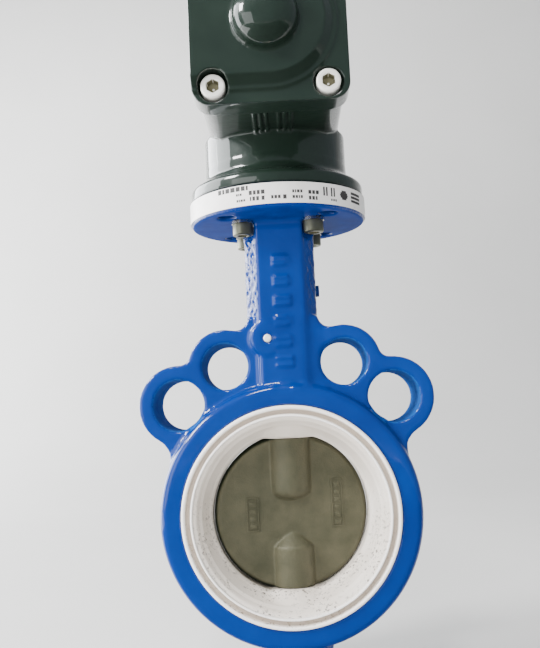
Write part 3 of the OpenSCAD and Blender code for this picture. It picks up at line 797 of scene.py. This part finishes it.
def build_retaining_pin():
    """The cross pin, with a rounded end to the front."""
    low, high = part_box("stem_retaining_pin")
    radius = (high[0] - low[0]) / 2
    at = Vector(((low[0] + high[0]) / 2, high[1], (low[2] + high[2]) / 2))
    length = high[1] - low[1]
    edge = 0.7 * MM
    profile = [(radius * 0.8, 0, 0), (radius, radius * 0.2, 0), (radius, length - edge, 0)]
    profile += arc(radius - edge, length - edge, edge, 20, 75, 4)
    profile += [(radius * 0.3, length - 0.02 * MM, 0)]
    bm = bmesh.new()
    turned(bm, place_along((0, -1, 0), at), profile)
    pin = smooth(new_object("stem_retaining_pin_detailed", bm))
    settle(pin, "bright_steel", "frame", "stem_retaining_pin", finish="zinc_steel")


build_retaining_pin()

THREAD_PITCH = 1.0 * MM
STOP_KEY = 3 * MM
NUT_R = 5 * MM
NUT_EDGE = 0.55 * MM


def threaded_rod(bm, place, radius, length, flats, sides=36, steps=8):
    """A stud with a real thread, and a hexagon socket in its end at the full length."""
    depth = 0.55 * THREAD_PITCH
    angles = [2 * math.pi * i / sides for i in range(sides)]
    rings = []
    count = int(length / THREAD_PITCH * steps)
    for i in range(count + 1):
        height = length * i / count
        fade = min(1.0, height / THREAD_PITCH, (length - height) / THREAD_PITCH)
        ring = []
        for a in angles:
            phase = (height / THREAD_PITCH - a / (2 * math.pi)) % 1
            r = radius - depth * (1 - fade * (1 - abs(2 * phase - 1)))
            ring.append(place @ Vector((r * math.cos(a), r * math.sin(a), height)))
        rings.append(ring)
    key = flats / 2
    socket = ((key, length, 1), (key, length - 3 * MM, 1), (key * 0.2, length - 3.3 * MM, 0))
    rings += [ring_of(place, angles, *corner) for corner in socket]
    skin(bm, rings)


def build_stop_screws():
    """The two travel stops and their lock nuts, which point to +X."""
    low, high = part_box("stop_screws")
    radius = (high[2] - low[2]) / 2
    middle_z = (high[2] + low[2]) / 2
    nut_low, nut_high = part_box("stop_screw_nuts")
    width = nut_high[0] - nut_low[0]
    bore = radius + 0.02 * MM
    nut = [(bore, 0, 0), (NUT_R * 0.97, 0, 0), (NUT_R, NUT_EDGE, 1), (NUT_R, width - NUT_EDGE, 1)]
    nut += [(NUT_R * 0.97, width, 0), (bore + 0.5 * MM, width, 0), (bore, width - 0.5 * MM, 0)]
    studs = bmesh.new()
    nuts = bmesh.new()
    for y in (low[1] + radius, high[1] - radius):
        stud_place = place_along((1, 0, 0), (low[0], y, middle_z))
        threaded_rod(studs, stud_place, radius, high[0] - low[0], STOP_KEY)
        turned(nuts, place_along((1, 0, 0), (nut_low[0], y, middle_z)), nut, 72, closed=True)
    stud_pair = smooth(new_object("stop_screws_threaded", studs))
    settle(stud_pair, "bright_steel", "frame", "stop_screws")
    nut_pair = smooth(new_object("stop_screw_nuts_detailed", nuts), 20)
    settle(nut_pair, "bright_steel", "frame", "stop_screw_nuts")


build_stop_screws()


# ---------- springs ----------


def build_spring(node):
    """The return spring: it stays in the frame."""
    low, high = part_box(node)
    wire = 1.2 * MM
    turns, steps, sides = 9, 26, 12
    mean = (high[0] - low[0]) / 2 - wire
    middle = ((high[0] + low[0]) / 2, (high[2] + low[2]) / 2)
    length = high[1] - low[1] - 2 * wire
    closed_turn = 2.04 * wire
    rings = []
    for i in range(turns * steps + 1):
        turn = i / steps
        if turn < 1:
            along = closed_turn * turn
        elif turn > turns - 1:
            along = length - closed_turn * (turns - turn)
        else:
            along = closed_turn + (length - 2 * closed_turn) * (turn - 1) / (turns - 2)
        a = 2 * math.pi * turn
        out = Vector((math.cos(a), 0, math.sin(a)))
        centre = Vector((middle[0], low[1] + wire + along, middle[1])) + out * mean
        ring = [centre + out * (wire * math.cos(b)) + Vector((0, wire * math.sin(b), 0))
                for b in (2 * math.pi * j / sides for j in range(sides))]
        rings.append(ring)
    bm = bmesh.new()
    skin(bm, rings)
    spring = settle(smooth(new_object(node + "_coil", bm), 60), "spring_steel", "frame", node)
    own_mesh(spring)


build_spring("front_spring")
build_spring("rear_spring")


# ---------- marks ----------

INK_PROUD = 0.04 * MM
INK_ROOT = 0.1 * MM
INK_STEP = 0.6 * MM
WORD_GAP = 0.28

# plain blocks that stand in for words: where a row starts across the front, how far up the band it is, how
# tall it is and the width of each block, in millimetres
LABEL_ROWS = (
    (-30.0, 7.3, 2.2, (2.0, 1.3, 2.2, 2.4, 2.1, 1.9, 1.0)),
    (-19.6, 5.0, 1.1, (0.9, 0.5, 0.9)),
    (-13.0, 4.8, 2.0, (1.5, 1.3, 1.4, 1.7)),
    (-19.4, 2.1, 1.1, (0.9, 0.6, 1.1, 0.9)),
    (-12.6, 1.9, 2.0, (0.7, 1.3, 1.3)),
    (-6.9, 1.9, 2.0, (1.4,)),
    (-2.4, 2.2, 1.6, (1.1, 1.2, 1.2)),
    (3.2, 1.9, 2.0, (1.6,)),
    (7.6, 4.8, 1.4, (0.9, 0.6, 1.2, 1.0)),
    (7.6, 2.1, 1.4, (1.2, 1.0, 0.6, 1.0)),
    (15.4, 4.3, 1.8, (1.5, 1.4, 1.5)),
    (15.6, 1.5, 1.8, (1.2, 1.3, 0.9)),
    (27.6, 1.7, 1.1, (0.6, 0.6, 0.6, 0.8)),
)
DOT_X = 36.4
DOT_SLICES = ((3.2, 1.6), (4.1, 2.5), (5.0, 2.9), (5.9, 2.5), (6.8, 1.6))


def label_block(bm, left, foot, width, height):
    """A thin printed block on the label; left is its place across the front, along the curve."""
    low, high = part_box("rating_label")
    outer = (high[0] - low[0]) / 2
    inside, outside = outer - INK_ROOT, outer + INK_PROUD
    bottom = low[2] + foot * MM
    top = low[2] + (foot + height) * MM
    corners = ((inside, bottom), (outside, bottom), (outside, top), (inside, top))
    start, stop = left * MM, (left + width) * MM
    steps = max(1, int((stop - start) / INK_STEP))
    rings = []
    for i in range(steps + 1):
        a = (start + (stop - start) * i / steps) / outer
        rings.append([(r * math.sin(a), -r * math.cos(a), z) for r, z in corners])
    skin(bm, rings)


def build_label_print():
    """Rows of blocks, four tall bars, a round dot made of slices, and three long bars."""
    bm = bmesh.new()
    for start, foot, height, widths in LABEL_ROWS:
        left = start
        for width in widths:
            label_block(bm, left, foot, width, height)
            left += width + WORD_GAP * height
    for left in (23.3, 24.9, 27.7, 29.3):
        label_block(bm, left, 3.9, 0.9, 4.3)
    for foot, half in DOT_SLICES:
        label_block(bm, DOT_X - half, foot, 2 * half, 0.92)
    for foot in (3.0, 4.9, 6.8):
        label_block(bm, 42.0, foot, 9.0, 1.3)
    ink = new_object("label_print", bm)
    ink.data.materials.append(MATERIALS["label_ink"])
    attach(ink, "frame")


build_label_print()

OPEN_ANGLE = math.radians(8)
DISC_FACE = -4.5 * MM
MARK_PROUD = 0.65 * MM
MARK_LINE = 0.5 * MM
MARK_INSET = 1.4 * MM

# left, right, foot and top of each frame in millimetres, and the number of bars in it
MARK_FRAMES = ((-22.8, -16.8, -8.8, 7.6, 4), (19.9, 25.5, -8.8, 15.2, 6))


def build_disc_marks():
    """Two plain cast frames with bars in them, on the left and the right of the disc's front face."""
    turn = Matrix.Rotation(OPEN_ANGLE, 4, "Z")
    bm = bmesh.new()

    def bar(left, right, foot, top, proud):
        near = Vector((left, DISC_FACE - proud, foot))
        rounded_box(bm, near, (right, DISC_FACE + 0.5 * MM, top), turn, 0.15 * MM)

    for *edges, bars in MARK_FRAMES:
        left, right, low, high = (edge * MM for edge in edges)
        bar(left, left + MARK_LINE, low, high, MARK_PROUD)
        bar(right - MARK_LINE, right, low, high, MARK_PROUD)
        bar(left, right, low, low + MARK_LINE, MARK_PROUD)
        bar(left, right, high - MARK_LINE, high, MARK_PROUD)
        step = (high - low - 2 * MM) / bars
        for i in range(bars):
            foot = low + MARK_INSET + step * i
            bar(left + MARK_INSET, right - MARK_INSET, foot, foot + step * 0.55, MARK_PROUD * 0.8)
    settle(smooth(new_object("disc_marks", bm)), "cast_stainless", "rotor")


build_disc_marks()


# ---------- the remaining CAD pieces ----------

SOFT_EDGE = 0.25 * MM
LABEL_EDGE = 0.08 * MM
BEVELLED = ("position_indicator", "indicator_screw", "pinion", "snap_ring", "thrust_washer", "bottom_plug",
            "neck_side_plug", "mounting_washers", "rating_label")


def finish_cad_piece(name, obj):
    """Gives a CAD piece that stays as it is its material, and soft edges where they show."""
    slot_name = next(s["material_slot"] for s in frame["record"]["subparts"] if s["node"] == name)
    finish_with(obj, slot_name)
    if name in BEVELLED:
        bevel = obj.modifiers.new("soft_edges", "BEVEL")
        bevel.width = LABEL_EDGE if name == "rating_label" else SOFT_EDGE
        bevel.segments = 2
        bevel.limit_method = "ANGLE"
        bevel.angle_limit = math.radians(40)


for node_name, node_object in NODES.items():
    if not node_object.hide_render:
        finish_cad_piece(node_name, node_object)


# ---------- camera, stage and light ----------

# the photo's camera, with its turns in radians and its lens in millimetres
CAMERA_AT = Vector((0.00209, -0.41163, 0.05378))
CAMERA_PITCH, CAMERA_YAW, CAMERA_ROLL = 0.0990, 0.0210, -0.0450
LENS = 44.54
FLOOR_DROP = 0.5 * MM
FLAG_DROP = 0.3 * MM


def place_camera():
    camera = bpy.data.objects.new("camera", bpy.data.cameras.new("camera"))
    bpy.context.scene.collection.objects.link(camera)
    camera.data.lens = LENS
    camera.data.clip_start = 0.01
    level_right = Vector((math.cos(CAMERA_YAW), math.sin(CAMERA_YAW), 0))
    level_front = Vector((-math.sin(CAMERA_YAW), math.cos(CAMERA_YAW), 0))
    world_up = Vector((0, 0, 1))
    front = level_front * math.cos(CAMERA_PITCH) + world_up * math.sin(CAMERA_PITCH)
    up = world_up * math.cos(CAMERA_PITCH) - level_front * math.sin(CAMERA_PITCH)
    right = level_right * math.cos(CAMERA_ROLL) + up * math.sin(CAMERA_ROLL)
    up = up * math.cos(CAMERA_ROLL) - level_right * math.sin(CAMERA_ROLL)
    axes = Matrix((right, up, -front)).transposed()
    camera.matrix_world = Matrix.Translation(CAMERA_AT) @ axes.to_4x4()
    bpy.context.scene.camera = camera


def build_stage(floor_z):
    """A pale floor that curves up into a wall behind the object."""
    bend, back, front, half = 0.9, 1.6, -2.5, 3.0
    path = [(front, 0.0), (back - bend, 0.0)]
    path += [(back - bend + bend * math.sin(a), bend * (1 - math.cos(a)))
             for a in (math.radians(5 * i) for i in range(1, 19))]
    path += [(back, 3.5)]
    bm = bmesh.new()
    rows = [[bm.verts.new((x, y, floor_z + z)) for x in (-half, half)] for y, z in path]
    for a, b in zip(rows, rows[1:]):
        bm.faces.new((a[0], a[1], b[1], b[0]))
    floor = smooth(new_object("stage_floor", bm), 60)
    s = Shader("stage_paint", Roughness=0.9)
    s.colour(s.ramp(s.noise(0.3, 4), (0.3, (0.62, 0.61, 0.59)), (0.7, (0.66, 0.65, 0.63))))
    floor.data.materials.append(s.mat)


def area_light(name, place, target, size, power, colour=(1, 1, 1), mirrored=True):
    """A soft box; one that isn't mirrored lights the surfaces without a reflection of its own."""
    light = bpy.data.objects.new(name, bpy.data.lights.new(name, "AREA"))
    bpy.context.scene.collection.objects.link(light)
    light.data.shape = "RECTANGLE"
    light.data.size, light.data.size_y = size
    light.data.energy = power
    light.data.color = colour
    light.visible_glossy = mirrored
    light.location = place
    light.rotation_mode = "QUATERNION"
    light.rotation_quaternion = (Vector(target) - Vector(place)).to_track_quat("-Z", "Y")


def flag(name, corners):
    """A dark card that the camera doesn't see and that shades nothing: it only dims reflections."""
    bm = bmesh.new()
    bm.faces.new([bm.verts.new(corner) for corner in corners])
    card = new_object(name, bm)
    s = Shader(name + "_felt", Roughness=1.0)
    s.colour(s.ramp(s.noise(0.05, 3), (0.3, (0.02, 0.02, 0.02)), (0.7, (0.03, 0.03, 0.03))))
    card.data.materials.append(s.mat)
    card.visible_camera = False
    card.visible_shadow = False
    card.visible_diffuse = False


def light_scene():
    """Bright windows on the left and behind, a small key from the upper left, and soft light in front."""
    world = bpy.data.worlds.new("studio")
    bpy.context.scene.world = world
    world.use_nodes = True
    background = world.node_tree.nodes["Background"]
    background.inputs["Color"].default_value = (0.82, 0.9, 1.0, 1)
    background.inputs["Strength"].default_value = 0.38
    area_light("window_behind", (-1.15, 0.85, 0.4), (0, 0.85, 0.4), (1.0, 1.2), 60, (0.95, 0.97, 1.0))
    area_light("window_left", (-1.2, 0.05, 0.5), (0, 0, 0.1), (0.65, 1.2), 28, (0.95, 0.98, 1.0))
    area_light("bounce_left", (-0.75, 0.1, CAD_BOX[0].z + 0.01), (-0.75, 0.1, 1.0), (0.7, 1.0), 10)
    area_light("panel_left", (-0.85, -0.95, 0.0), (0, 0, 0.05), (0.8, 1.1), 9)
    area_light("key", (-1.0, -0.5, 0.8), (0, 0, 0.05), (0.35, 0.35), 28)
    area_light("front_top", (-0.3, -0.9, 1.3), (0, 0, 0.0), (0.3, 0.3), 12)
    area_light("front_soft", (-0.2, -1.5, 0.0), (0, 0, 0.08), (1.0, 1.0), 30, mirrored=False)
    low = CAD_BOX[0].z - FLAG_DROP
    flag("flag_floor", ((-1, -1.5, low), (1, -1.5, low), (1, -0.01, low), (-1, -0.01, low)))


place_camera()
build_stage(CAD_BOX[0].z - FLOOR_DROP)
light_scene()
